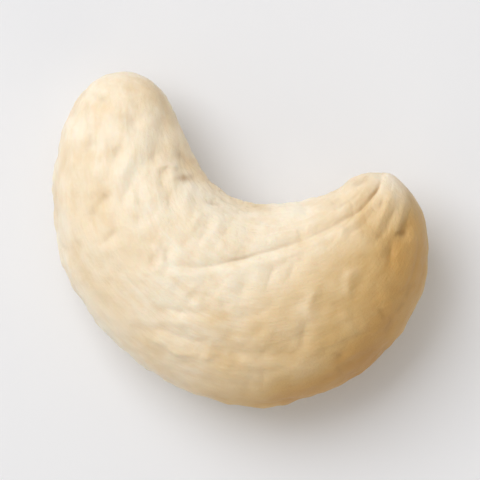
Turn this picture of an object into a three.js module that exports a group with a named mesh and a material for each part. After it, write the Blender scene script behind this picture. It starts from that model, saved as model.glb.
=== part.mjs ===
// Roasted cashew kernel, in millimetres, +Z up.
// It lies on its flat side. X runs from the thin lobe to the fat lobe, the hollow of the
// curve opens toward +Y, and three low spots of the underside rest on z = 0.
import * as THREE from 'three';
import { mergeVertices } from 'three/addons/utils/BufferGeometryUtils.js';

// Outline from above and height, from the tip of the thin lobe round to the tip of the fat
// one. A station joins a point on the back to the point facing it on the hollow side, and
// gives how high the upper face and the underside are between them.
const thinTip = { x: -10.0, y: 8.45, z: 3.9 };
const fatTip = { x: 7.9, y: 8.55, z: 5.3 };
const stations = [
  { back: [-11.95, 7.0], hollow: [-7.6, 8.0], top: 6.1, under: 1.6 },
  { back: [-12.6, 4.2], hollow: [-5.3, 6.0], top: 7.0, under: 0.6 },
  { back: [-11.7, -0.2], hollow: [-3.8, 4.6], top: 7.8, under: 0.4 },
  { back: [-8.9, -4.7], hollow: [-2.4, 3.8], top: 8.5, under: 0.35 },
  { back: [-4.6, -7.5], hollow: [-1.0, 3.55], top: 8.9, under: 0.3 },
  { back: [0.65, -8.6], hollow: [0.4, 3.7], top: 9.1, under: 0.3 },
  { back: [5.6, -7.7], hollow: [1.9, 4.3], top: 9.2, under: 0.35 },
  { back: [9.55, -4.55], hollow: [3.4, 5.3], top: 9.2, under: 0.35 },
  { back: [11.65, -0.6], hollow: [4.6, 6.4], top: 8.9, under: 0.4 },
  { back: [11.85, 3.7], hollow: [5.3, 7.5], top: 8.2, under: 1.0 },
  { back: [10.3, 7.0], hollow: [6.4, 8.3], top: 7.1, under: 2.9 },
];

// Cross-section: fuller than an ellipse at its shoulders and thicker toward the back, each by
// a share, and rolled so that the back lies lower than the hollow side.
const shoulderFullness = 0.04;
const backFullness = 0.05;
const rollSlope = 0.12;

// The underside touches the surface on three flattened swellings round the kernel's weight.
const restingSpots = [
  { at: [-8.7, 3.2], radius: 2.4, raise: 0.56 },
  { at: [0.6, -4.4], radius: 2.6, raise: 0.46 },
  { at: [8.3, 2.3], radius: 2.5, raise: 0.52 },
];

// Grooves of the upper face, along smooth lines given from above. The depths lie evenly along
// a line, from its first point to its last, and the groove runs straight from one to the next.
const upperGrooves = [
  // The seam between the two halves, from the pointed tip down the face.
  {
    line: [[6.9, 8.3], [6.85, 7.2], [6.3, 5.95], [5.5, 4.6], [4.2, 3.3], [2.9, 2.1],
      [1.6, 0.9], [0.3, 0.0], [-1.2, -1.0], [-2.8, -1.7]],
    width: 0.45,
    depths: [0.2, 0.32, 0.24, 0.12, 0.08, 0.05],
  },
  // The outer edge of the small germ that is wedged between the halves at the tip.
  {
    line: [[9.2, 8.2], [9.3, 7.0], [9.6, 5.6], [9.8, 4.6]],
    width: 0.45,
    depths: [0.05, 0.14, 0.18, 0],
  },
  // Pleats that run together at the tip.
  {
    line: [[7.6, 8.1], [7.5, 6.8], [6.9, 5.2], [6.3, 4.3]],
    width: 0.35,
    depths: [0.08, 0.14, 0.08],
  },
  {
    line: [[8.5, 8.0], [8.5, 6.4], [8.4, 5.2], [8.0, 4.2]],
    width: 0.35,
    depths: [0.04, 0.07, 0.12, 0.06],
  },
  {
    line: [[8.9, 5.2], [9.1, 4.4], [9.5, 3.6], [9.8, 2.8]],
    width: 0.4,
    depths: [0, 0.16, 0.05],
  },
  // A long shallow dip that follows the back.
  {
    line: [[-7.0, -3.0], [-4.0, -4.4], [-1.0, -5.4], [2.0, -5.4], [5.0, -4.6], [7.0, -2.8]],
    width: 0.7,
    depths: [0.05, 0.14, 0.14, 0],
  },
  // The fold down the inner flank of the thin lobe.
  {
    line: [[-7.4, 8.0], [-6.9, 7.0], [-6.5, 5.8], [-6.6, 4.2], [-7.1, 2.6], [-7.3, 1.2]],
    width: 0.6,
    depths: [0.08, 0.12, 0.14, 0.05],
  },
  // The crease where the thin lobe turns into the hollow.
  {
    line: [[-6.4, 4.1], [-5.4, 4.5], [-4.5, 4.4], [-3.9, 4.0]],
    width: 0.4,
    depths: [0.08, 0.16, 0.14, 0.05],
  },
];

// The seam goes on under the back of the kernel, and a broad dip lies along the underside.
const lowerGrooves = [
  {
    line: [[9.3, 7.6], [10.3, 4.0], [10.0, 0.1], [7.9, -3.4], [4.4, -5.8], [0.4, -6.6],
      [-4.0, -5.6], [-7.6, -2.8], [-9.6, 1.0], [-9.8, 5.0]],
    width: 0.5,
    depths: [0.2, 0.2, 0.2, 0.05],
  },
  {
    line: [[-6.6, 1.4], [-3.6, -0.6], [0.2, -1.2], [3.8, 0.4], [5.6, 3.2]],
    width: 0.9,
    depths: [0.1, 0.15, 0.15, 0.05],
  },
];

// Small hollows of the upper face, and the swelling of the germ at the tip.
const upperSpots = [
  { at: [-8.75, 3.45], radius: 0.45, raise: -0.14 },
  { at: [-10.5, 3.2], radius: 0.5, raise: -0.22 },
  { at: [-11.0, 6.0], radius: 0.5, raise: -0.2 },
  { at: [-8.45, 5.5], radius: 0.55, raise: -0.18 },
  { at: [-8.5, 0.3], radius: 0.5, raise: -0.12 },
  { at: [-7.15, -1.45], radius: 0.5, raise: -0.16 },
  { at: [-4.3, 3.6], radius: 0.55, raise: -0.06 },
  { at: [9.6, 5.75], radius: 0.5, raise: -0.12 },
  { at: [6.3, -2.9], radius: 0.5, raise: -0.12 },
  { at: [1.6, -1.4], radius: 0.5, raise: -0.12 },
  { at: [8.0, 7.0], radius: 1.1, raise: 0.22 },
];

// Soft unevenness all over the skin: two crossing waves, each slanted by its share.
const waveHeight = 0.04;
const waveLength = 5.2;
const firstSlant = 0.6;
const secondSlant = -0.3;

// Where relief ends: that of a face between these rises of the skin (0 at the side, 1 straight
// up), and all of it where the section's radius shrinks to a tip.
const sideRise = -0.1;
const faceRise = 0.45;
const tipRadius = 1.5;

// Fineness of the mesh: rings from tip to tip, points round a ring, how much closer the
// points lie on the upper face, which has the finer relief, and steps along a groove.
const ringCount = 92;
const pointsPerRing = 52;
const upperCrowding = 0.35;
const lineSteps = 24;
const mergeDistance = 1e-4;

const { smoothstep, clamp, lerp } = THREE.MathUtils;

const skin = new THREE.MeshStandardMaterial({ color: 0xead2a8, roughness: 0.62, metalness: 0 });

// The closed outline: over the top of the back to the fat tip, and back along the underside
// of the hollow side. The z of a point carries the top or the underside of its station.
const outline = new THREE.CatmullRomCurve3([
  new THREE.Vector3(thinTip.x, thinTip.y, thinTip.z),
  ...stations.map((s) => new THREE.Vector3(...s.back, s.top)),
  new THREE.Vector3(fatTip.x, fatTip.y, fatTip.z),
  ...[...stations].reverse().map((s) => new THREE.Vector3(...s.hollow, s.under)),
], true, 'catmullrom');

function smoothLine(points) {
  const corners = points.map(([x, y]) => new THREE.Vector3(x, y, 0));
  return new THREE.CatmullRomCurve3(corners, false, 'catmullrom').getPoints(lineSteps);
}

for (const groove of [...upperGrooves, ...lowerGrooves]) groove.path = smoothLine(groove.line);

function depthAlong(depths, share) {
  const place = share * (depths.length - 1);
  const before = Math.min(Math.floor(place), depths.length - 2);
  return lerp(depths[before], depths[before + 1], place - before);
}

// How deep a groove is at a point seen from above: a bell-shaped section round the nearest
// point of its line.
function grooveDepth(x, y, groove) {
  let nearest = Infinity;
  let along = 0;
  for (let i = 0; i < lineSteps; i += 1) {
    const start = groove.path[i];
    const stepX = groove.path[i + 1].x - start.x;
    const stepY = groove.path[i + 1].y - start.y;
    const projected = (x - start.x) * stepX + (y - start.y) * stepY;
    const share = clamp(projected / (stepX ** 2 + stepY ** 2), 0, 1);
    const distance = Math.hypot(x - start.x - share * stepX, y - start.y - share * stepY);
    if (distance < nearest) {
      nearest = distance;
      along = (i + share) / lineSteps;
    }
  }
  const bell = Math.exp(-((nearest / groove.width) ** 2));
  return depthAlong(groove.depths, along) * bell;
}

function spotHeight(x, y, spot) {
  const distance = Math.hypot(x - spot.at[0], y - spot.at[1]);
  return spot.raise * Math.exp(-((distance / spot.radius) ** 2));
}

// How far the skin stands out or in at a point seen from above, on the face that its rise
// gives: 1 is straight up, 0 the side and -1 straight down.
function relief(x, y, rise) {
  const upper = smoothstep(rise, sideRise, faceRise);
  const lower = smoothstep(-rise, sideRise, faceRise);
  let height = 0;
  for (const groove of upperGrooves) height -= upper * grooveDepth(x, y, groove);
  for (const groove of lowerGrooves) height -= lower * grooveDepth(x, y, groove);
  for (const spot of upperSpots) height += upper * spotHeight(x, y, spot);
  for (const spot of restingSpots) height += lower * spotHeight(x, y, spot);
  const turn = (2 * Math.PI) / waveLength;
  const first = Math.sin(turn * (x + firstSlant * y));
  const second = Math.sin(turn * (y + secondSlant * x) + 2 * rise);
  return height + waveHeight * first * second;
}

// A point of the skin: along runs 0 to 1 from tip to tip, and turn is the angle in a section,
// 0 at the back, a quarter turn at the top and half a turn at the hollow side.
function skinPoint(along, turn) {
  const back = outline.getPoint(along / 2);
  const hollow = outline.getPoint(1 - along / 2);
  const middle = back.clone().add(hollow).multiplyScalar(0.5);
  const halfWidth = Math.hypot(back.x - middle.x, back.y - middle.y);
  const halfThickness = (back.z - hollow.z) / 2;
  const across = Math.cos(turn);
  const rise = Math.sin(turn);
  const reach = across * (1 + shoulderFullness * rise ** 2);
  const lift = rise * (1 + shoulderFullness * across ** 2) * (1 + backFullness * across);
  const arm = new THREE.Vector3(
    reach * (back.x - middle.x),
    reach * (back.y - middle.y),
    lift * halfThickness - rollSlope * reach * halfWidth,
  );
  const radius = arm.length();
  const fade = smoothstep(radius, 0, tipRadius);
  const height = fade * relief(middle.x + arm.x, middle.y + arm.y, rise);
  const point = middle.addScaledVector(arm, 1 + height / radius);
  point.z = Math.max(point.z, 0);
  return point;
}

// Rings of points closed by a fan at each tip, moved so that the origin is the middle of the
// base of the kernel's box.
function kernelGeometry() {
  const positions = [];
  const faces = [];
  for (let i = 1; i < ringCount; i += 1) {
    for (let j = 0; j < pointsPerRing; j += 1) {
      const even = (2 * Math.PI * j) / pointsPerRing;
      const point = skinPoint(i / ringCount, even + upperCrowding * Math.cos(even));
      positions.push(point.x, point.y, point.z);
    }
  }
  const thinEnd = positions.length / 3;
  const fatEnd = thinEnd + 1;
  positions.push(thinTip.x, thinTip.y, thinTip.z);
  positions.push(fatTip.x, fatTip.y, fatTip.z);
  const lastRing = (ringCount - 2) * pointsPerRing;
  for (let j = 0; j < pointsPerRing; j += 1) {
    const next = (j + 1) % pointsPerRing;
    faces.push(thinEnd, j, next);
    faces.push(fatEnd, lastRing + next, lastRing + j);
    for (let here = 0; here < lastRing; here += pointsPerRing) {
      const beyond = here + pointsPerRing;
      faces.push(here + j, beyond + j, beyond + next);
      faces.push(here + j, beyond + next, here + next);
    }
  }
  const open = new THREE.BufferGeometry();
  open.setAttribute('position', new THREE.Float32BufferAttribute(positions, 3));
  open.setIndex(faces);
  const closed = mergeVertices(open, mergeDistance);
  closed.computeBoundingBox();
  const middle = closed.boundingBox.getCenter(new THREE.Vector3());
  closed.translate(-middle.x, -middle.y, 0);
  closed.computeVertexNormals();
  return closed;
}

const kernel = new THREE.Mesh(kernelGeometry(), skin);
kernel.name = 'kernel';

const group = new THREE.Group();
group.add(kernel);

export default group;
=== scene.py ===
import math

import bpy
import numpy as np
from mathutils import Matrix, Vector


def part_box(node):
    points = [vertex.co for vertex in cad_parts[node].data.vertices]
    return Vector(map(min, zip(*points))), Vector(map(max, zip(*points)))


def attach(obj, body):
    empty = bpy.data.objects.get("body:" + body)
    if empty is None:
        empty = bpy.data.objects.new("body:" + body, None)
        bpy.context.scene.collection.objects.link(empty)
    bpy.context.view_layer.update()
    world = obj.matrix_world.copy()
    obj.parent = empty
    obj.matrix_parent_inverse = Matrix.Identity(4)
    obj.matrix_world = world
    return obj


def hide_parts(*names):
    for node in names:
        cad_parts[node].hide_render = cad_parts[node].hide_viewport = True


# A whole roasted cashew kernel lying on a pale surface, seen from straight above.
# Shapes are worked out in millimetres and put into the meshes in metres.

mm = 0.001

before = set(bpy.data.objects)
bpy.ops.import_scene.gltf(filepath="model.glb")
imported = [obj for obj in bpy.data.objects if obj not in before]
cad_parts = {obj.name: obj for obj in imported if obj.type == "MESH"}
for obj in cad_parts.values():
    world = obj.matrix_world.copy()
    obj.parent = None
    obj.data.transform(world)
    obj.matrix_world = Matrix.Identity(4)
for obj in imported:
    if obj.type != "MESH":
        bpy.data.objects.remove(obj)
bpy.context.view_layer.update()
print("frame loaded")


# Lines and noise that the kernel's surface is worked out with

def cubic(a, b, c, d, f):
    # From b to c, with the slope at each one half of the step between its neighbours.
    return b + 0.5 * f * (c - a + f * (2 * a - 5 * b + 4 * c - d + f * (3 * (b - c) + d - a)))


def alongLoop(points, at):
    # A closed smooth curve, which is such a cubic between each two of its points.
    points = np.asarray(points, float)
    start = np.floor(at).astype(int)
    a, b, c, d = (points[(start + shift) % len(points)] for shift in (-1, 0, 1, 2))
    return cubic(a, b, c, d, (at - start)[:, None])


def alongLine(points, count):
    # The same on an open line, whose ends are continued straight by one step.
    points = np.asarray(points, float)
    padded = np.vstack([2 * points[0] - points[1], points, 2 * points[-1] - points[-2]])
    at = np.linspace(0, len(points) - 1, count + 1)
    start = np.minimum(np.floor(at).astype(int), len(points) - 2)
    a, b, c, d = (padded[start + shift] for shift in range(4))
    return cubic(a, b, c, d, (at - start)[:, None])


def nearLine(place, line, steps=24):
    # Distance to the nearest point of the line, and how far along it that point is, 0 to 1.
    path = alongLine(line, steps)
    nearest = np.full(len(place), np.inf)
    share = np.zeros(len(place))
    for i in range(steps):
        step = path[i + 1] - path[i]
        f = np.clip((place - path[i]) @ step / (step @ step), 0, 1)
        distance = np.linalg.norm(place - path[i] - f[:, None] * step, axis=1)
        closer = distance < nearest
        nearest[closer] = distance[closer]
        share[closer] = (i + f[closer]) / steps
    return nearest, share


def smoothStep(value, low, high):
    # 0 below low, 1 above high, and an S-shaped cubic between.
    f = np.clip((value - low) / (high - low), 0, 1)
    return f * f * (3 - 2 * f)


def softNoise(place, seed, cells=32):
    # Random values on a cubic lattice, blended smoothly between its corners, -1 to 1.
    lattice = np.random.default_rng(seed).random((cells, cells, cells)) * 2 - 1
    low = np.floor(place).astype(int)
    f = place - low
    f = f * f * (3 - 2 * f)
    total = np.zeros(len(place))
    for corner in np.ndindex(2, 2, 2):
        weight = np.prod(np.where(corner, f, 1 - f), axis=1)
        x, y, z = ((low + corner) % cells).T
        total += weight * lattice[x, y, z]
    return total


def twoNoises(place, seeds, finer=2.3, share=0.6):
    # A noise, and on top of it a share of a finer one.
    return softNoise(place, seeds[0]) + share * softNoise(place * finer, seeds[1])


# The kernel

kernelForm = {
    # The tips as x, y, z, and between them: back x, y, hollow side x, y, top, underside
    "thinTip": (-10.0, 8.45, 3.9),
    "fatTip": (7.9, 8.55, 5.3),
    "stations": [
        (-11.95, 7.0, -7.6, 8.0, 6.1, 1.6),
        (-12.6, 4.2, -5.3, 6.0, 7.0, 0.6),
        (-11.7, -0.2, -3.8, 4.6, 7.8, 0.4),
        (-8.9, -4.7, -2.4, 3.8, 8.5, 0.35),
        (-4.6, -7.5, -1.0, 3.55, 8.9, 0.3),
        (0.65, -8.6, 0.4, 3.7, 9.1, 0.3),
        (5.6, -7.7, 1.9, 4.3, 9.2, 0.35),
        (9.55, -4.55, 3.4, 5.3, 9.2, 0.35),
        (11.65, -0.6, 4.6, 6.4, 8.9, 0.4),
        (11.85, 3.7, 5.3, 7.5, 8.2, 1.0),
        (10.3, 7.0, 6.4, 8.3, 7.1, 2.9),
    ],
    "shoulderFullness": 0.04,
    "backFullness": 0.05,
    "rollSlope": 0.12,  # how much lower the back lies than the hollow side
    "rings": 400,
    "pointsPerRing": 240,
    "upperCrowding": 0.2,  # how much closer the points lie on the upper face
    "waveHeight": 0.04,
    "waveLength": 5.2,
    "firstSlant": 0.6,
    "secondSlant": -0.3,
    "sideRise": -0.1,  # a face's relief starts at this rise, 0 at the side and 1 straight up,
    "faceRise": 0.45,  # and is whole at this one
    "tipRadius": 1.5,  # relief fades where a section is smaller than this
    "fineSharpness": 1.6,  # the power of the fine grooves' bells
    "upperCalm": 0.5,  # the share of its texture that the upper face lacks
    "restingCalm": 0.7,  # and the share of the fine relief that the resting spots lack
    "mostStainAndShade": 1.2,
}

# Grooves as line, width, depth, stain. A list of depths or stains goes from the line's first
# point to its last, and a ridge has a negative depth. The stain is the skin's own brown in the
# seam and the germ's pit, and painted shade in many of the dents.
upperGrooves = [
    ([(6.9, 8.3), (6.85, 7.2), (6.3, 5.95), (5.5, 4.6), (4.2, 3.3), (2.9, 2.1), (1.6, 0.9),
      (0.3, 0.0), (-1.2, -1.0), (-2.8, -1.7)], 0.45, [0.2, 0.32, 0.24, 0.12, 0.08, 0.05], 0),
    ([(9.2, 8.2), (9.3, 7.0), (9.6, 5.6), (9.8, 4.6)], 0.45, [0.05, 0.14, 0.18, 0], 0),
    ([(7.6, 8.1), (7.5, 6.8), (6.9, 5.2), (6.3, 4.3)], 0.35, [0.08, 0.14, 0.08], 0),
    ([(8.5, 8.0), (8.5, 6.4), (8.4, 5.2), (8.0, 4.2)], 0.35, [0.04, 0.07, 0.12, 0.06], 0),
    ([(8.9, 5.2), (9.1, 4.4), (9.5, 3.6), (9.8, 2.8)], 0.4, [0.0, 0.16, 0.05], 0),
    ([(-7.0, -3.0), (-4.0, -4.4), (-1.0, -5.4), (2.0, -5.4), (5.0, -4.6), (7.0, -2.8)],
     0.7, [0.05, 0.14, 0.14, 0.0], 0),
    ([(-7.4, 8.0), (-6.9, 7.0), (-6.5, 5.8), (-6.6, 4.2), (-7.1, 2.6), (-7.3, 1.2)],
     0.6, [0.08, 0.12, 0.14, 0.05], 0),
    ([(-6.4, 4.1), (-5.4, 4.5), (-4.5, 4.4), (-3.9, 4.0)], 0.4, [0.08, 0.16, 0.14, 0.05], 0),
]
lowerGrooves = [
    ([(9.3, 7.6), (10.3, 4.0), (10.0, 0.1), (7.9, -3.4), (4.4, -5.8), (0.4, -6.6),
      (-4.0, -5.6), (-7.6, -2.8), (-9.6, 1.0), (-9.8, 5.0)], 0.5, [0.2, 0.2, 0.2, 0.05], 0.25),
    ([(-6.6, 1.4), (-3.6, -0.6), (0.2, -1.2), (3.8, 0.4), (5.6, 3.2)],
     0.9, [0.1, 0.15, 0.15, 0.05], 0),
]

# The finer ones of the upper face, which only this model has
fineGrooves = [
    # the seam's bottom, and the lips beside it
    ([(6.9, 8.0), (6.85, 7.3), (6.55, 6.5), (6.2, 5.8), (5.75, 5.2), (5.15, 4.4), (4.35, 3.5),
      (3.4, 2.6), (2.45, 1.75), (1.65, 1.1), (1.0, 0.55), (0.4, 0.15), (-0.5, -0.55),
      (-1.1, -0.95), (-1.8, -1.3), (-2.9, -1.65)],
     0.2,
     [0.05, 0.13, 0.11, 0.09, 0.09, 0.07, 0.07, 0.08, 0.11, 0.1, 0.13, 0.13, 0.1, 0.1, 0.1, 0.0],
     [0.3, 1.0, 0.75, 0.6, 0.5, 0.4, 0.35, 0.35, 0.5, 0.4, 0.6, 0.55, 0.35, 0.35, 0.3, 0.0]),
    ([(5.3, 3.5), (4.4, 2.65), (3.5, 1.7), (2.7, 0.85), (1.7, 0.3), (1.0, -0.15), (0.3, -0.8),
      (-0.6, -1.3), (-1.6, -1.8), (-2.7, -2.1)],
     0.26, [-0.03, -0.05, -0.13, -0.11, -0.11, -0.02, -0.05, -0.02, -0.07, 0.0], 0),
    ([(6.9, 6.3), (6.6, 5.3), (6.0, 4.4), (5.4, 3.8)], 0.3, [-0.05, -0.1, -0.12, -0.03], 0),
    ([(5.5, 5.5), (4.7, 4.6), (3.9, 3.8)], 0.35, -0.06, 0),
    ([(3.3, 2.9), (2.3, 2.15)], 0.25, -0.07, 0),
    ([(6.3, 7.4), (6.0, 6.5), (5.5, 5.7)], 0.35, -0.07, 0),
    # a second line beside it near the tip, and two dents
    ([(6.2, 7.2), (5.8, 6.4), (5.3, 5.6), (4.7, 5.0)], 0.2, [0.02, 0.09, 0.06, 0.0],
     [0.15, 0.42, 0.3, 0.0]),
    ([(5.6, 7.3), (6.05, 7.75)], 0.4, 0.07, 0.42),
    ([(4.75, 5.6), (5.05, 5.85)], 0.36, 0.04, 0.34),
    # pleats of the germ at the fat lobe's point, and the pit beside them
    ([(7.6, 7.4), (7.55, 6.6), (7.5, 6.0)], 0.2, [0.02, 0.08, 0.0], [0.0, 0.45, 0.0]),
    ([(7.2, 5.4), (6.75, 4.7), (6.3, 4.2)], 0.2, [0.04, 0.09, 0.02], [0.1, 0.35, 0.1]),
    ([(8.4, 7.3), (8.45, 6.4), (8.4, 5.4), (8.25, 4.8), (7.9, 4.2)],
     0.2, [0.0, 0.07, 0.05, 0.1, 0.0], [0.0, 0.3, 0.1, 0.45, 0.0]),
    ([(8.0, 7.4), (8.0, 6.4), (7.85, 5.4)], 0.28, [-0.04, -0.1, -0.04], 0),
    ([(8.7, 8.0), (8.95, 7.0), (9.1, 6.0), (9.05, 5.2)], 0.22, [-0.03, -0.1, -0.1, -0.03], 0),
    ([(9.05, 8.0), (9.3, 7.5), (9.65, 6.9), (10.1, 6.2)], 0.5, [0.03, 0.05, 0.03, 0.0],
     [0.4, 0.42, 0.38, 0.2]),
    ([(9.4, 6.4), (9.45, 5.9), (9.45, 5.45)], 0.34, [0.02, 0.05, 0.06], [0.28, 0.52, 0.62]),
    ([(9.15, 5.3), (9.7, 5.5)], 0.22, 0.02, 0.4),
    ([(9.2, 5.15), (9.8, 5.2)], 0.24, [0.06, 0.04], 0.15),
    ([(9.15, 4.7), (9.3, 4.0), (9.6, 3.2)], 0.24, [0.06, 0.12, 0.0], [0.2, 0.25, 0.0]),
    # folds of the fat lobe
    ([(7.75, 2.4), (7.45, 1.7), (7.7, 0.9), (8.0, 0.4)], 0.3, [-0.03, -0.08, -0.08, -0.02], 0),
    ([(5.85, 0.3), (5.75, -0.5), (5.95, -1.4)], 0.3, [-0.07, -0.12, -0.05], 0),
    ([(6.0, -2.1), (6.35, -3.3)], 0.25, 0.09, 0.12),
    ([(7.3, -2.8), (6.9, -4.0), (6.4, -4.8)], 0.5, -0.06, 0),
    ([(9.4, -2.6), (8.9, -3.3), (8.6, -4.2)], 0.25, -0.05, 0),
    # brown marks near its edge
    ([(10.0, 0.5), (10.3, 0.2)], 0.26, 0.05, 0.45),
    ([(11.15, 2.6), (11.2, 2.0)], 0.26, 0.04, 0.42),
    ([(11.15, 1.4), (11.05, 0.9)], 0.26, 0.04, 0.4),
    ([(10.9, 0.2), (10.85, -0.5)], 0.26, 0.05, 0.42),
    ([(8.9, -3.8), (9.2, -4.0)], 0.3, 0.04, 0.38),
    ([(8.5, -3.0), (8.8, -3.1)], 0.25, 0.04, 0.36),
    # folds of the body
    ([(2.85, 0.4), (2.85, -0.5), (3.1, -1.1)], 0.2, [0.09, 0.09, 0.0], 0.12),
    ([(3.95, 1.1), (4.0, 0.4)], 0.2, 0.08, 0.1),
    ([(3.6, -1.7), (3.1, -2.5), (2.3, -3.0), (1.7, -3.4)], 0.28, [0.05, 0.08, 0.07, 0.0], 0.06),
    ([(5.4, -1.9), (4.4, -2.25), (3.5, -2.75), (2.6, -3.3)], 0.4, [-0.03, -0.06, -0.06, 0.0], 0),
    ([(1.5, -0.9), (1.55, -1.6)], 0.35, 0.06, 0.12),
    ([(-2.7, 2.75), (-2.1, 2.85), (-1.4, 3.05)], 0.24, [0.02, 0.16, 0.03], [0.05, 0.5, 0.1]),
    ([(-1.95, 1.95), (-1.85, 1.1), (-2.0, 0.3)], 0.24, [0.03, 0.05, 0.06], 0.06),
    ([(-2.7, 1.7), (-2.8, 0.7)], 0.25, -0.06, 0),
    ([(-1.5, 2.5), (-1.3, 1.6)], 0.4, -0.06, 0),
    ([(-3.7, -0.5), (-3.5, -1.2), (-3.25, -1.9)], 0.28, [0.03, 0.09, 0.1], 0.08),
    ([(-3.8, -0.9), (-3.65, -1.5)], 0.3, 0.02, [0.3, 0.38]),
    ([(-4.4, -0.5), (-4.3, -1.3)], 0.2, -0.04, 0),
    ([(-4.8, 2.25), (-4.5, 1.75), (-4.0, 1.3)], 0.22, [0.06, 0.1, 0.04], 0.08),
    ([(-3.1, 2.4), (-3.0, 1.7)], 0.25, 0.03, 0),
    ([(-3.8, 3.1), (-3.75, 2.1)], 0.35, -0.09, 0),
    ([(-5.9, -3.2), (-5.0, -3.8)], 0.25, 0.05, 0),
    ([(-6.3, -3.6), (-5.6, -4.1)], 0.35, -0.05, 0),
    # the pit and the curved fold round it, where the thin lobe begins; the pit's brown is partly
    # its own and partly painted shade
    ([(-4.75, 3.4), (-4.35, 3.6), (-3.9, 3.85)], 0.42, [0.03, 0.05, 0.03], [0.35, 0.7, 0.45]),
    ([(-4.35, 3.65), (-5.0, 3.9), (-5.6, 3.7), (-5.75, 3.2), (-5.4, 2.75), (-4.8, 2.6)],
     0.2, [0.0, 0.06, 0.09, 0.08, 0.08, 0.0], 0.12),
    ([(-6.7, 3.1), (-6.0, 3.75), (-5.3, 3.95), (-4.8, 4.0)], 0.26, [-0.06, -0.15, -0.14, -0.02], 0),
    ([(-5.7, 5.2), (-5.1, 4.85), (-4.4, 4.65)], 0.45, [0.02, 0.06, 0.03], [0.2, 0.45, 0.3]),
    # folds and dents of the thin lobe, their stains painted shade in the dents
    ([(-8.8, 4.2), (-8.85, 3.6), (-8.9, 2.8)], 0.24, [0.06, 0.1, 0.08], 0.22),
    ([(-11.6, 6.25), (-11.15, 6.1)], 0.36, 0.09, 0.28),
    ([(-9.1, 5.75), (-8.6, 5.5)], 0.42, 0.07, 0.2),
    ([(-10.85, 3.8), (-10.75, 2.9)], 0.34, 0.09, 0.28),
    ([(-7.3, -1.2), (-7.45, -1.8)], 0.32, 0.05, 0.38),
    ([(-8.35, 0.75), (-8.65, -0.2), (-8.8, -1.1)], 0.26, [0.08, 0.09, 0.07], 0.12),
    ([(-8.65, 0.65), (-8.95, 0.0), (-9.0, -0.6)], 0.3, 0.02, [0.36, 0.3, 0.36]),
    ([(-7.25, 2.5), (-7.3, 1.7), (-7.4, 0.8)], 0.26, [0.04, 0.11, 0.06], 0.12),
    ([(-8.0, 3.9), (-8.0, 2.4)], 0.3, -0.06, 0),
    ([(-8.3, 7.6), (-7.9, 6.2), (-7.8, 4.6), (-8.1, 2.2)], 0.6, -0.05, 0),
    ([(-11.5, 3.2), (-11.2, 1.2), (-10.3, -0.9), (-8.4, -3.0)], 0.4, -0.05, 0),
    # long ridges and furrows along the back
    ([(-2.9, -4.6), (-2.2, -4.35), (-1.5, -4.25), (-0.7, -4.1)], 0.24, [0.0, 0.1, 0.2, 0.03],
     [0.0, 0.2, 0.3, 0.0]),
    ([(-2.7, -5.2), (-1.8, -5.0), (-1.0, -4.8), (-0.5, -4.55)],
     0.25, [0.0, -0.1, -0.1, 0.0], 0),
    ([(-3.3, -5.95), (-1.9, -5.7), (-0.8, -5.7), (0.2, -5.55), (1.0, -5.45), (1.9, -5.7)],
     0.25, [0.0, 0.13, 0.12, 0.12, 0.04, 0.08], [0.0, 0.25, 0.25, 0.25, 0.0, 0.15]),
    ([(-3.1, -6.35), (-2.1, -6.4), (-1.5, -6.45), (-1.1, -6.55), (-0.4, -6.5), (0.3, -6.35),
      (0.6, -6.3), (1.1, -6.2), (1.6, -6.15)],
     0.22, [0.0, -0.17, -0.08, -0.13, -0.18, -0.1, -0.03, -0.2, 0.0], 0),
    ([(3.3, -5.65), (4.3, -5.6)], 0.28, -0.09, 0),
    ([(2.2, -5.35), (3.0, -5.3), (3.7, -5.2)], 0.24, [0.04, 0.1, 0.0], 0.1),
    ([(4.8, -5.8), (5.0, -6.6)], 0.2, 0.07, 0.05),
    ([(4.1, -6.3), (4.1, -6.9)], 0.2, 0.05, 0.05),
]

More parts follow.
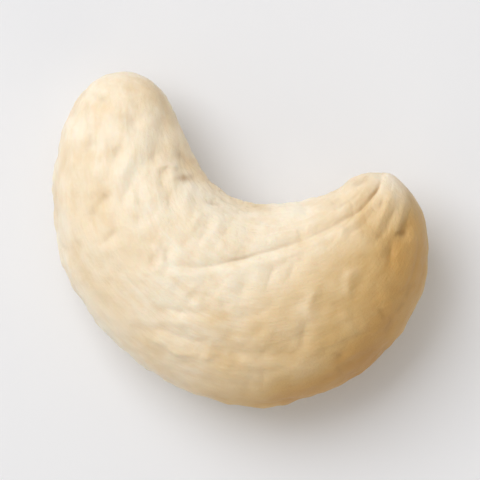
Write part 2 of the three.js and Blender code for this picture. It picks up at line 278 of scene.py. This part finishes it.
# Spots as x, y, radius, raise
upperSpots = [
    (-8.75, 3.45, 0.45, -0.14),
    (-10.5, 3.2, 0.5, -0.22),
    (-11.0, 6.0, 0.5, -0.2),
    (-8.45, 5.5, 0.55, -0.18),
    (-8.5, 0.3, 0.5, -0.12),
    (-7.15, -1.45, 0.5, -0.16),
    (-4.3, 3.6, 0.55, -0.06),
    (9.6, 5.75, 0.5, -0.12),
    (6.3, -2.9, 0.5, -0.12),
    (1.6, -1.4, 0.5, -0.12),
    (8.0, 7.0, 1.1, 0.22),
]
restingSpots = [
    (-8.7, 3.2, 2.4, 0.56),
    (0.6, -4.4, 2.6, 0.46),
    (8.3, 2.3, 2.5, 0.52),
]
fineSpots = [
    (4.3, 1.65, 0.3, -0.08),
    (2.2, 1.55, 0.4, -0.04),
    (5.1, -0.95, 0.3, -0.05),
    (5.2, 5.4, 0.35, -0.1),
    (3.3, 4.6, 0.35, -0.07),
    (5.95, 4.3, 0.28, 0.08),
    (6.6, -0.8, 0.35, -0.06),
    (8.8, 1.5, 0.8, -0.08),
    (8.65, 4.0, 0.3, 0.06),
    (8.9, 3.4, 0.3, -0.05),
    (7.35, -0.35, 0.25, -0.04),
    (8.55, -0.35, 0.3, -0.04),
    (8.85, -3.05, 0.2, -0.06),
    (5.2, -5.0, 0.35, 0.05),
    (4.35, -4.7, 0.28, -0.1),
    (5.45, -4.2, 0.35, -0.07),
    (2.45, -6.15, 0.28, 0.06),
    (0.9, -4.9, 0.5, 0.04),
    (-1.15, -3.15, 0.28, -0.09),
    (-1.35, -2.6, 0.25, 0.05),
    (-0.6, -3.4, 0.3, 0.05),
    (0.35, -2.4, 0.25, 0.05),
    (-0.3, -2.8, 0.25, -0.05),
    (0.85, -2.75, 0.25, -0.07),
    (0.2, -1.9, 0.28, -0.06),
    (-2.25, -3.0, 0.3, -0.05),
    (-3.8, -2.3, 0.3, 0.07),
    (-4.6, -2.0, 0.3, 0.05),
    (-4.25, -1.75, 0.22, -0.05),
    (-0.95, 0.4, 0.25, -0.06),
    (-1.65, 0.3, 0.25, 0.04),
    (-0.1, 0.2, 0.25, 0.06),
    (-5.95, 0.2, 0.5, -0.08),
    (-5.4, 2.7, 0.35, -0.06),
    (-5.1, 3.35, 0.3, 0.13),
    (-6.45, 4.1, 0.25, -0.06),
    (-5.9, 5.3, 0.35, 0.06),
    (-6.0, 1.6, 0.4, 0.07),
    (-6.75, 1.3, 0.3, 0.05),
    (-11.3, 3.5, 0.4, 0.07),
    (-9.5, 5.9, 0.4, 0.09),
    (-10.6, 1.9, 0.4, 0.06),
    (-8.2, -4.35, 0.25, -0.05),
]

# The kernel is browner towards its fat end and its back: from one value of x - slant * y to
# another on its top, less near its base, with an uneven border. This is partly the roast's own
# brown and partly painted shade on the side that faces away from the key lamp. Its sides are
# mottled. It is browner or paler along a few lines too, given as line, width, share. Most of the
# browner ones are painted shade where the surface turns from the lamp, and most of the paler ones
# are painted bounced light.
toastAndShadeValues = {
    "slant": 0.5,
    "from": 0.2,
    "to": 11.2,
    "most": 0.98,
    "bendingOver": 4,
    "baseShare": 0.45,
    "topFrom": -1.0,
    "topTo": 7.0,
    "unevenSize": 4.2,
    "uneven": 0.08,
    "unevenSeeds": (21, 22),
    "finerUneven": 2.7,
    "finerShare": 0.5,
    "mottleSize": 1.7,
    "mottles": 0.15,
    "mottleSeeds": (23, 24),
    "mottledTo": 2.5,
    "bandSteps": 8,
    "bands": [
        # the fat lobe's point, and its side: the paler bands on its lower side and rim are painted
        # bounced light, the browner band at its lower edge painted shade
        ([(6.2, 7.6), (6.4, 6.3), (7.0, 5.2)], 0.6, 0.1),
        ([(8.0, 8.2), (8.7, 7.0), (8.9, 5.8)], 0.45, -0.1),
        ([(7.2, 8.7), (8.3, 8.4)], 0.6, -0.12),
        ([(9.6, 6.2), (9.9, 4.2)], 1.0, 0.12),
        ([(11.7, 2.2), (11.5, 0.9), (11.35, -0.4)], 0.4, -0.14),
        ([(5.6, -0.1), (5.45, -1.1)], 0.4, -0.09),
        ([(7.6, 2.2), (7.2, 1.7), (7.45, 0.9)], 0.35, -0.08),
        ([(5.4, -2.6), (6.4, -4.2), (4.6, -5.6)], 1.8, -0.18),
        ([(8.9, -1.4), (8.4, -3.2), (7.0, -4.8)], 1.1, -0.16),
        ([(10.2, -2.4), (9.0, -4.6), (6.6, -6.5)], 0.8, 0.12),
        # the back's lower edge, with painted shade in the band along the outer edge where the
        # surface turns down
        ([(0.0, -7.6), (2.6, -7.5), (4.2, -7.1)], 1.0, -0.1),
        ([(-6.4, -5.0), (-4.9, -5.7), (-3.0, -6.4)], 1.4, 0.3),
        ([(-11.4, 3.0), (-11.1, 1.4), (-10.6, 0.1), (-9.8, -1.3), (-8.8, -2.9), (-7.4, -4.6)],
         0.5, 0.12),
        # the thin lobe, from its end to the middle
        ([(-9.6, 8.0), (-8.4, 7.4)], 0.8, 0.1),
        ([(-10.5, 6.8), (-10.6, 4.2)], 1.9, 0.18),
        ([(-8.4, -0.5), (-7.2, -1.2), (-5.4, -2.0)], 1.9, 0.32),
        # the body, and the side of the hollow: browner along the thin lobe's inner flank and the
        # hollow's rim as painted shade where they turn away from the lamp
        ([(0.5, -3.8), (1.1, -3.4)], 0.5, 0.2),
        ([(-8.6, 8.3), (-7.3, 7.5), (-6.4, 6.7), (-5.7, 5.8)], 0.7, 0.28),
        ([(-4.2, 4.6), (-3.0, 4.2), (-1.4, 4.0), (0.6, 4.0)], 0.75, 0.4),
    ],
}

# The finer relief of the skin, in mm: lumps, wrinkles along the body, and grain. A shift is
# where in the noise a pattern starts.
skinRelief = {
    "lumpSize": 1.4,
    "lumpHeight": 0.09,
    "lumpShift": 7.3,
    "lumpSeed": 11,
    "dimpleSize": 0.68,
    "dimpleHeight": 0.1,
    "dimpleShift": 3.1,
    "dimpleSeed": 12,
    "wrinkleLength": 2.6,
    "wrinkleWidth": 1.0,
    "wrinkleHeight": 0.1,
    "wrinkleSeed": 13,
    "creaseLength": 1.0,
    "creaseWidth": 0.45,
    "creaseHeight": 0.05,
    "creaseSeed": 17,
    "valleySlope": 3,
    "valleyLevel": 0.6,
    "bend": 0.7,
    "bendSize": 2.6,
    "bendShifts": (0.0, 9.0, 18.0),
    "bendSeed": 15,
    "patchSize": 3.7,
    "patchShare": 0.6,
    "patchRange": 0.5,
    "patchSeed": 19,
    "grainSize": 0.35,
    "grainHeight": 0.017,
    "grainSeeds": (14, 16),
}

grooveReach = 4  # a groove is worked out as far as this many of its widths from its line
stainAndShadeWidth = 0.8  # of the groove's own width
stepsPerPoint = 4  # of a groove's line


def lineField(place, lines, sharpness=2.0):
    # Each groove is a bell round its line. The depths add up, and so do the stains.
    depth = np.zeros(len(place))
    stainAndShade = np.zeros(len(place))
    for line, width, *amounts in lines:
        reach = grooveReach * width
        low, high = np.min(line, axis=0) - reach, np.max(line, axis=0) + reach
        near = np.flatnonzero(np.all((place > low) & (place < high), axis=1))
        nearest, share = nearLine(place[near], line, stepsPerPoint * len(line))
        deep, tint = (np.interp(share, np.linspace(0, 1, np.size(amount)), np.atleast_1d(amount))
                      for amount in amounts)
        depth[near] += deep * np.exp(-(nearest / width) ** sharpness)
        stainAndShade[near] += tint * np.exp(-(nearest / (stainAndShadeWidth * width)) ** 2)
    return depth, stainAndShade


def spotField(place, spots):
    # A bell of its own height round each spot.
    total = np.zeros(len(place))
    for x, y, radius, height in spots:
        total += height * np.exp(-np.sum((place - (x, y)) ** 2, axis=1) / radius ** 2)
    return total


def toastAndShadeField(solid, values):
    # An even rise across the kernel, shifted by broad noise, with the bands added: the roast's
    # brown and painted shade together. It is less near the base, and bends over as it nears its
    # most. The mottles of the sides come last.
    place = solid[:, :2]
    across = solid[:, 0] - values["slant"] * solid[:, 1]
    total = (across - values["from"]) / (values["to"] - values["from"])
    uneven = twoNoises(solid / values["unevenSize"], values["unevenSeeds"],
                       values["finerUneven"], values["finerShare"])
    total = np.clip(total + values["uneven"] * uneven, 0, None)
    for line, width, share in values["bands"]:
        nearest = nearLine(place, line, values["bandSteps"])[0]
        total += share * np.exp(-(nearest / width) ** 2)
    rise = smoothStep(solid[:, 2], values["topFrom"], values["topTo"])
    total *= values["baseShare"] + (1 - values["baseShare"]) * rise
    power = values["bendingOver"]
    total /= (1 + (np.abs(total) / values["most"]) ** power) ** (1 / power)
    mottled = 1 - smoothStep(solid[:, 2], values["mottledTo"], values["topTo"])
    mottles = twoNoises(solid / values["mottleSize"], values["mottleSeeds"])
    return total + values["mottles"] * mottled * mottles


def skinDetail(solid, flow, detail):
    # Lumps in space, then wrinkles and small creases that run along the body: narrow valleys
    # where a stretched and bent noise passes through zero, deeper in some patches than in
    # others. Last a fine grain.
    total = np.zeros(len(solid))
    for kind in ("lump", "dimple"):
        place = solid / detail[kind + "Size"] + detail[kind + "Shift"]
        total += detail[kind + "Height"] * softNoise(place, detail[kind + "Seed"])
    bend = np.column_stack([softNoise(solid / detail["bendSize"] + shift, detail["bendSeed"])
                            for shift in detail["bendShifts"]])
    for kind in ("wrinkle", "crease"):
        length, width, seed = (detail[kind + value] for value in ("Length", "Width", "Seed"))
        bent = flow / (length, width, width) + detail["bend"] * bend
        valley = np.minimum(detail["valleySlope"] * np.abs(softNoise(bent, seed)), 1)
        patch = softNoise(solid / detail["patchSize"] + seed, detail["patchSeed"])
        patch = detail["patchShare"] + detail["patchRange"] * patch
        total += detail[kind + "Height"] * patch * (valley - detail["valleyLevel"])
    return total + detail["grainHeight"] * twoNoises(
        solid / detail["grainSize"], detail["grainSeeds"])


def sections(form):
    # A closed curve runs over the top of the back to the fat tip, and back along the underside
    # of the hollow side. A section lies between two points of it that face each other, and is
    # given by its middle and by the half of it that reaches to the back. Round a section,
    # across is 1 at the back and -1 at the hollow side, and rise is 1 at the top.
    stations = np.array(form["stations"])
    over = np.column_stack([stations[:, 0:2], stations[:, 4]])
    under = np.column_stack([stations[:, 2:4], stations[:, 5]])
    loop = np.vstack([form["thinTip"], over, form["fatTip"], under[::-1]])
    rings, around = form["rings"], form["pointsPerRing"]
    at = np.arange(1, rings) / rings * (len(loop) / 2)
    back = alongLoop(loop, at)
    hollow = alongLoop(loop, len(loop) - at)
    even = np.arange(around) / around * 2 * np.pi
    turn = even + form["upperCrowding"] * np.cos(even)
    return (back + hollow) / 2, (back - hollow) / 2, np.cos(turn), np.sin(turn)


def sectionArms(half, across, rise, form):
    # From a section's middle to each of its points: an oval, fuller at its shoulders and
    # towards the back, and rolled so that the back lies lower.
    full = form["shoulderFullness"]
    reach = across * (1 + full * rise ** 2)
    lift = rise * (1 + full * across ** 2) * (1 + form["backFullness"] * across)
    width = np.linalg.norm(half[:, :2], axis=1)[:, None]
    arm = np.empty((len(half), len(across), 3))
    arm[..., 0] = half[:, None, 0] * reach
    arm[..., 1] = half[:, None, 1] * reach
    arm[..., 2] = half[:, None, 2] * lift - form["rollSlope"] * reach * width
    return arm


def flowField(middle, half, across, rise):
    # How far each point lies along the body, and its place in the section there.
    steps = np.linalg.norm(np.diff(middle, axis=0), axis=1)
    flow = np.empty((len(half), len(across), 3))
    flow[..., 0] = np.concatenate([[0], np.cumsum(steps)])[:, None]
    flow[..., 1] = across * np.linalg.norm(half[:, :2], axis=1)[:, None]
    flow[..., 2] = rise * half[:, None, 2]
    return flow.reshape(-1, 3)


def waves(place, rise, form):
    # Two crossing waves, each slanted by its share, and the second one shifted by the rise.
    turns = 2 * np.pi / form["waveLength"]
    x, y = place.T
    first = np.sin(turns * (x + form["firstSlant"] * y))
    second = np.sin(turns * (y + form["secondSlant"] * x) + 2 * rise)
    return form["waveHeight"] * first * second


def kernelSurface(form, detail):
    # Points on a grid of two parameters, along the body and round its section. The relief
    # moves each point along its arm from the section's middle. The marks of the upper face
    # and those of the underside fade towards the side.
    middle, half, across, rise = sections(form)
    arm = sectionArms(half, across, rise, form)
    flow = flowField(middle, half, across, rise)
    solid = (middle[:, None] + arm).reshape(-1, 3)
    place = solid[:, :2]
    riseAll = np.broadcast_to(rise, arm.shape[:2]).ravel()
    upper = smoothStep(riseAll, form["sideRise"], form["faceRise"])
    lower = smoothStep(-riseAll, form["sideRise"], form["faceRise"])
    deepUpper, stainAndShadeUpper = lineField(place, upperGrooves)
    deepLower, stainAndShadeLower = lineField(place, lowerGrooves)
    deepFine, stainAndShadeFine = lineField(place, fineGrooves, form["fineSharpness"])
    height = upper * (spotField(place, upperSpots) - deepUpper)
    height += lower * (spotField(place, restingSpots) - deepLower)
    height += waves(place, riseAll, form)

    texture = skinDetail(solid, flow, detail) * (1 - form["upperCalm"] * upper)
    fine = texture + upper * (spotField(place, fineSpots) - deepFine)
    resting = lower * spotField(place, [(a, b, radius, 1) for a, b, radius, _ in restingSpots])
    fine *= 1 - form["restingCalm"] * np.clip(resting, 0, 1)

    radius = np.linalg.norm(arm, axis=2)
    fade = smoothStep(radius, 0, form["tipRadius"])
    total = fade * (height + fine).reshape(radius.shape)
    points = middle[:, None] + arm * (1 + total / radius)[..., None]
    points[..., 2] = np.maximum(points[..., 2], 0)
    stainAndShade = upper * (stainAndShadeUpper + stainAndShadeFine) + lower * stainAndShadeLower
    paints = {
        "stainAndShade": np.clip(stainAndShade, 0, form["mostStainAndShade"]),
        "toastAndShade": toastAndShadeField(solid, toastAndShadeValues),
        "texture": texture,
        "flow": flow,
    }
    return points, paints


def closedGrid(name, points, ends):
    # Quads between neighbouring rings, and a fan of triangles to the point at each end.
    rings, around = points.shape[:2]
    i, j = np.meshgrid(np.arange(rings - 1), np.arange(around), indexing="ij")
    here, after = i * around + j, i * around + (j + 1) % around
    quads = np.stack([here, here + around, after + around, after], axis=-1).reshape(-1, 4)
    ring = np.arange(around)
    after = (ring + 1) % around
    firstEnd, lastEnd = rings * around, rings * around + 1
    last = (rings - 1) * around
    fans = np.vstack([
        np.column_stack([np.full(around, firstEnd), ring, after]),
        np.column_stack([np.full(around, lastEnd), last + after, last + ring]),
    ])
    mesh = bpy.data.meshes.new(name)
    mesh.from_pydata(
        np.vstack([points.reshape(-1, 3), ends]).tolist(), [], quads.tolist() + fans.tolist())
    mesh.shade_smooth()
    piece = bpy.data.objects.new(name, mesh)
    bpy.context.scene.collection.objects.link(piece)
    return piece


def paintPoints(piece, name, values):
    # A number or a vector for each point of the mesh; the end points get their neighbours'.
    kind, key = ("FLOAT", "value") if values.ndim == 1 else ("FLOAT_VECTOR", "vector")
    data = piece.data.attributes.new(name, kind, "POINT")
    values = np.concatenate([values, values[:1], values[-1:]])
    data.data.foreach_set(key, values.astype(np.float32).ravel())


def fitBox(points, box):
    # Stretches the points by a hair so that they fill the box, and gives the same for others.
    low, high = (np.array(corner) / mm for corner in box)
    start, size = points.min((0, 1)), np.ptp(points, axis=(0, 1))
    return lambda place: (place - start) * (high - low) / size + low


points, paints = kernelSurface(kernelForm, skinRelief)
fitted = fitBox(points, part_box("kernel"))
points = fitted(points)
ends = fitted(np.array([kernelForm["thinTip"], kernelForm["fatTip"]]))
kernelSkin = closedGrid("kernel_skin", points * mm, ends * mm)
for paintName, paintValues in paints.items():
    paintPoints(kernelSkin, paintName, paintValues)
print("kernel made:", len(kernelSkin.data.polygons), "faces")


# The kernel's finish

skinFinish = {
    "pale": (0.955, 0.855, 0.69),
    # cream to brown along the toast-and-shade value: the roast's colour, and painted shade
    "tones": [
        (0.0, (0.91, 0.775, 0.575)),
        (0.3, (0.86, 0.692, 0.46)),
        (0.48, (0.78, 0.58, 0.325)),
        (0.62, (0.70, 0.475, 0.21)),
        (0.76, (0.645, 0.385, 0.13)),
        (1.0, (0.50, 0.25, 0.06)),
    ],
    # painted shade for low relief, painted highlight for high relief
    "reliefShadeAndHighlight": [
        (0.0, (0.93, 0.895, 0.84)),
        (0.45, (0.995, 0.99, 0.985)),
        (0.6, (1.0, 1.0, 1.0)),
        (1.0, (1.03, 1.045, 1.075)),
    ],
    # the brown of the seam and pit, which is also painted shade in dents
    "stainAndShade": (0.38, 0.20, 0.055),
    # the patterns' sizes in mm, and their noise as detail, roughness and distortion
    "patchSize": (3.4, 3.4, 3.4),
    "patchNoise": (5, 0.55, 0.0),
    "streakSize": (2.0, 0.5, 0.5),
    "streakNoise": (4, 0.6, 0.6),
    "poreSize": (0.22, 0.22, 0.22),
    "poreNoise": (4, 0.6, 0.0),
    "lineSize": (1.1, 0.16, 0.16),
    "lineNoise": (3, 0.55, 0.4),
    "patchShare": 0.65,
    # how values are spread out: from low and high, to low and high
    "unevenTone": (0.3, 0.7, 0.05, -0.05),
    "paleTone": (0.36, 0.6, 0.0, 1.0),
    "paleToastAndShade": (0.0, 0.5, 1.0, 0.0),
    "shadedRelief": (-0.13, 0.13, 0.0, 1.0),
    "unevenStain": (0.3, 0.7, -0.08, 0.08),
    "stainedAndShaded": (0.05, 1.1, 0.0, 0.8),
    "roughness": (0.3, 0.7, 0.42, 0.62),
    "specular": 0.4,
    "bumpHeight": 0.03,
    "lightInside": 0.2,
    "lightReach": (1.0, 0.55, 0.3),
    "lightDepth": 0.6,
}


def colour(values):
    return (*values, 1.0)


class NodeSheet:
    # Adds nodes to a material or to the world, with one line each.
    def __init__(self, owner):
        self.nodes, self.links = owner.node_tree.nodes, owner.node_tree.links

    def put(self, target, value):
        if isinstance(value, bpy.types.NodeSocket):
            self.links.new(value, target)
        else:
            target.default_value = value

    def attribute(self, name, output="Fac"):
        node = self.nodes.new("ShaderNodeAttribute")
        node.attribute_name = name
        return node.outputs[output]

    def pattern(self, place, unit, size, noise):
        # Noise at a place that is measured in steps of the size given for each direction.
        steps = self.nodes.new("ShaderNodeMapping")
        steps.inputs["Scale"].default_value = [1 / (step * unit) for step in size]
        self.put(steps.inputs["Vector"], place)
        node = self.nodes.new("ShaderNodeTexNoise")
        node.inputs["Scale"].default_value = 1
        for name, number in zip(("Detail", "Roughness", "Distortion"), noise):
            node.inputs[name].default_value = number
        self.put(node.inputs["Vector"], steps.outputs["Vector"])
        return node.outputs["Fac"]

    def remap(self, value, low, high, toLow, toHigh):
        # The value spread from one range to another, smoothly at both ends.
        node = self.nodes.new("ShaderNodeMapRange")
        node.interpolation_type = "SMOOTHSTEP"
        for name, number in zip(("Value", "From Min", "From Max", "To Min", "To Max"),
                                (value, low, high, toLow, toHigh)):
            self.put(node.inputs[name], number)
        return node.outputs["Result"]

    def ramp(self, value, stops):
        # Colours that the value picks from, each at its own place from 0 to 1.
        node = self.nodes.new("ShaderNodeValToRGB")
        elements = node.color_ramp.elements
        while len(elements) < len(stops):
            elements.new(1.0)
        for element, (at, tone) in zip(elements, stops):
            element.position = at
            element.color = colour(tone)
        self.put(node.inputs["Fac"], value)
        return node.outputs["Color"]

    def math(self, kind, first, second):
        node = self.nodes.new("ShaderNodeMath")
        node.operation = kind
        self.put(node.inputs[0], first)
        self.put(node.inputs[1], second)
        return node.outputs["Value"]

    def multiply(self, first, second):
        return self.mix(1.0, first, second, "MULTIPLY")

    def mix(self, share, first, second, kind="MIX"):
        node = self.nodes.new("ShaderNodeMix")
        node.data_type = "RGBA"
        node.blend_type = kind
        self.put(node.inputs["Factor"], share)
        for name, value in (("A", first), ("B", second)):
            socket = [s for s in node.inputs if s.name == name and s.type == "RGBA"][0]
            self.put(socket, value)
        return [s for s in node.outputs if s.type == "RGBA"][0]


def skinMaterial(finish):
    material = bpy.data.materials.new("kernel_skin")
    material.use_nodes = True
    sheet = NodeSheet(material)
    shader = sheet.nodes["Principled BSDF"]
    place = sheet.nodes.new("ShaderNodeTexCoord").outputs["Object"]
    flow = sheet.attribute("flow", "Vector")
    patches = sheet.pattern(place, mm, finish["patchSize"], finish["patchNoise"])
    streaks = sheet.pattern(flow, 1, finish["streakSize"], finish["streakNoise"])
    tone = sheet.math("ADD", sheet.math("MULTIPLY", patches, finish["patchShare"]),
                      sheet.math("MULTIPLY", streaks, 1 - finish["patchShare"]))

    # from cream to brown, in uneven patches: the roast's brown and painted shade
    toastAndShade = sheet.attribute("toastAndShade")
    uneven = sheet.math("ADD", toastAndShade, sheet.remap(tone, *finish["unevenTone"]))
    base = sheet.ramp(uneven, finish["tones"])
    paler = sheet.math("MULTIPLY", sheet.remap(tone, *finish["paleTone"]),
                       sheet.remap(toastAndShade, *finish["paleToastAndShade"]))
    base = sheet.mix(paler, base, colour(finish["pale"]))

    # dents a little darker, crests a little whiter
    # painted shade in the dents and a painted highlight on the crests, by the fine relief's height
    relief = sheet.remap(sheet.attribute("texture"), *finish["shadedRelief"])
    base = sheet.multiply(base, sheet.ramp(relief, finish["reliefShadeAndHighlight"]))

    # brown in the creases
    unevenStain = sheet.remap(streaks, *finish["unevenStain"])
    # brown in the creases: the skin's own brown in the seam and the pit, and painted shade in dents
    stainAndShade = sheet.math("ADD", sheet.attribute("stainAndShade"), unevenStain)
    base = sheet.mix(sheet.remap(stainAndShade, *finish["stainedAndShaded"]), base, colour(finish["stainAndShade"]))
    sheet.put(shader.inputs["Base Color"], base)

    # the shine is uneven too, and a fine bump finishes the skin
    sheet.put(shader.inputs["Roughness"], sheet.remap(streaks, *finish["roughness"]))
    pores = sheet.pattern(place, mm, finish["poreSize"], finish["poreNoise"])
    lines = sheet.pattern(flow, 1, finish["lineSize"], finish["lineNoise"])
    bump = sheet.nodes.new("ShaderNodeBump")
    bump.inputs["Strength"].default_value = 1.0
    bump.inputs["Distance"].default_value = finish["bumpHeight"] * mm
    sheet.put(bump.inputs["Height"], sheet.math("ADD", pores, lines))
    sheet.put(shader.inputs["Normal"], bump.outputs["Normal"])
    shader.inputs["Specular IOR Level"].default_value = finish["specular"]

    # some light goes into the flesh and comes out beside, the red of it farthest
    shader.inputs["Subsurface Weight"].default_value = finish["lightInside"]
    shader.inputs["Subsurface Radius"].default_value = finish["lightReach"]
    shader.inputs["Subsurface Scale"].default_value = finish["lightDepth"] * mm
    return material


kernelSkin.data.materials.append(skinMaterial(skinFinish))
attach(kernelSkin, "root")
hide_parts("kernel")
print("kernel finished")


# The surface, the light and the camera

studio = {
    "turn": math.radians(22),  # of the picture against the kernel's own axes
    "floorSize": 2.0,
    "floorColour": (0.865, 0.88, 0.92),
    "floorRoughness": 0.8,
    # square lamps as name, angle, elevation, distance and size in metres, watts, tint
    "lamps": [
        ("key", 135, 53, 0.5, 0.36, 1.5, (0.985, 0.99, 1.0)),
        ("fill", 300, 30, 0.5, 0.4, 0.36, (1.0, 0.9, 0.72)),
    ],
    "airColour": (1.0, 0.965, 0.915),
    "airStrength": (0.2, 0.6),
    "airAngle": 135,
    "airElevation": 30,
    "lens": 900,
    "frameWidth": 30.0,  # what the picture shows across, in mm
    "nearest": 0.01,
    "farthest": 10,
}


def makeFloor(values):
    half = values["floorSize"] / 2
    mesh = bpy.data.meshes.new("floor")
    mesh.from_pydata([(-half, -half, 0), (half, -half, 0), (half, half, 0), (-half, half, 0)], [],
                     [(0, 1, 2, 3)])
    floor = bpy.data.objects.new("floor", mesh)
    bpy.context.scene.collection.objects.link(floor)
    material = bpy.data.materials.new("floor")
    material.use_nodes = True
    shader = material.node_tree.nodes["Principled BSDF"]
    shader.inputs["Base Color"].default_value = colour(values["floorColour"])
    shader.inputs["Roughness"].default_value = values["floorRoughness"]
    mesh.materials.append(material)


def direction(values, angle, elevation):
    # Away from the kernel at an angle round the picture, 0 to its right and 90 to its top.
    a = math.radians(angle) + values["turn"]
    e = math.radians(elevation)
    return Vector((math.cos(a) * math.cos(e), math.sin(a) * math.cos(e), math.sin(e)))


def areaLight(values, name, angle, elevation, distance, size, power, tint):
    # A square lamp that faces the kernel.
    away = direction(values, angle, elevation)
    data = bpy.data.lights.new(name, "AREA")
    data.size = size
    data.energy = power
    data.color = tint
    lamp = bpy.data.objects.new(name, data)
    lamp.location = away * distance
    lamp.rotation_euler = away.to_track_quat("Z", "Y").to_euler()
    bpy.context.scene.collection.objects.link(lamp)


def makeAir(values):
    # Light from all round, stronger from the key's side than from the side across from it.
    world = bpy.data.worlds.new("air")
    world.use_nodes = True
    sheet = NodeSheet(world)
    facing = sheet.nodes.new("ShaderNodeVectorMath")
    facing.operation = "DOT_PRODUCT"
    sheet.put(facing.inputs[0], sheet.nodes.new("ShaderNodeTexCoord").outputs["Generated"])
    sheet.put(facing.inputs[1], direction(values, values["airAngle"], values["airElevation"]))
    air = sheet.nodes["Background"]
    air.inputs["Color"].default_value = colour(values["airColour"])
    strength = sheet.remap(facing.outputs["Value"], -1.0, 1.0, *values["airStrength"])
    sheet.put(air.inputs["Strength"], strength)
    return world


def makeCamera(values, points):
    # Straight above, turned so that the kernel lies as in the picture.
    right = np.array([math.cos(values["turn"]), math.sin(values["turn"])])
    up = np.array([-right[1], right[0]])
    flat = points.reshape(-1, 3)[:, :2]
    middle = sum(axis * ((flat @ axis).min() + (flat @ axis).max()) / 2 for axis in (right, up))
    data = bpy.data.cameras.new("camera")
    data.lens = values["lens"]
    data.clip_start = values["nearest"]
    data.clip_end = values["farthest"]
    camera = bpy.data.objects.new("camera", data)
    distance = values["frameWidth"] * mm * values["lens"] / data.sensor_width
    camera.location = (middle[0] * mm, middle[1] * mm, distance)
    camera.rotation_euler = (0, 0, values["turn"])
    bpy.context.scene.collection.objects.link(camera)
    bpy.context.scene.camera = camera


makeFloor(studio)
for lamp in studio["lamps"]:
    areaLight(studio, *lamp)
bpy.context.scene.world = makeAir(studio)
bpy.context.scene.view_settings.view_transform = "Standard"
makeCamera(studio, points)
print("studio ready")
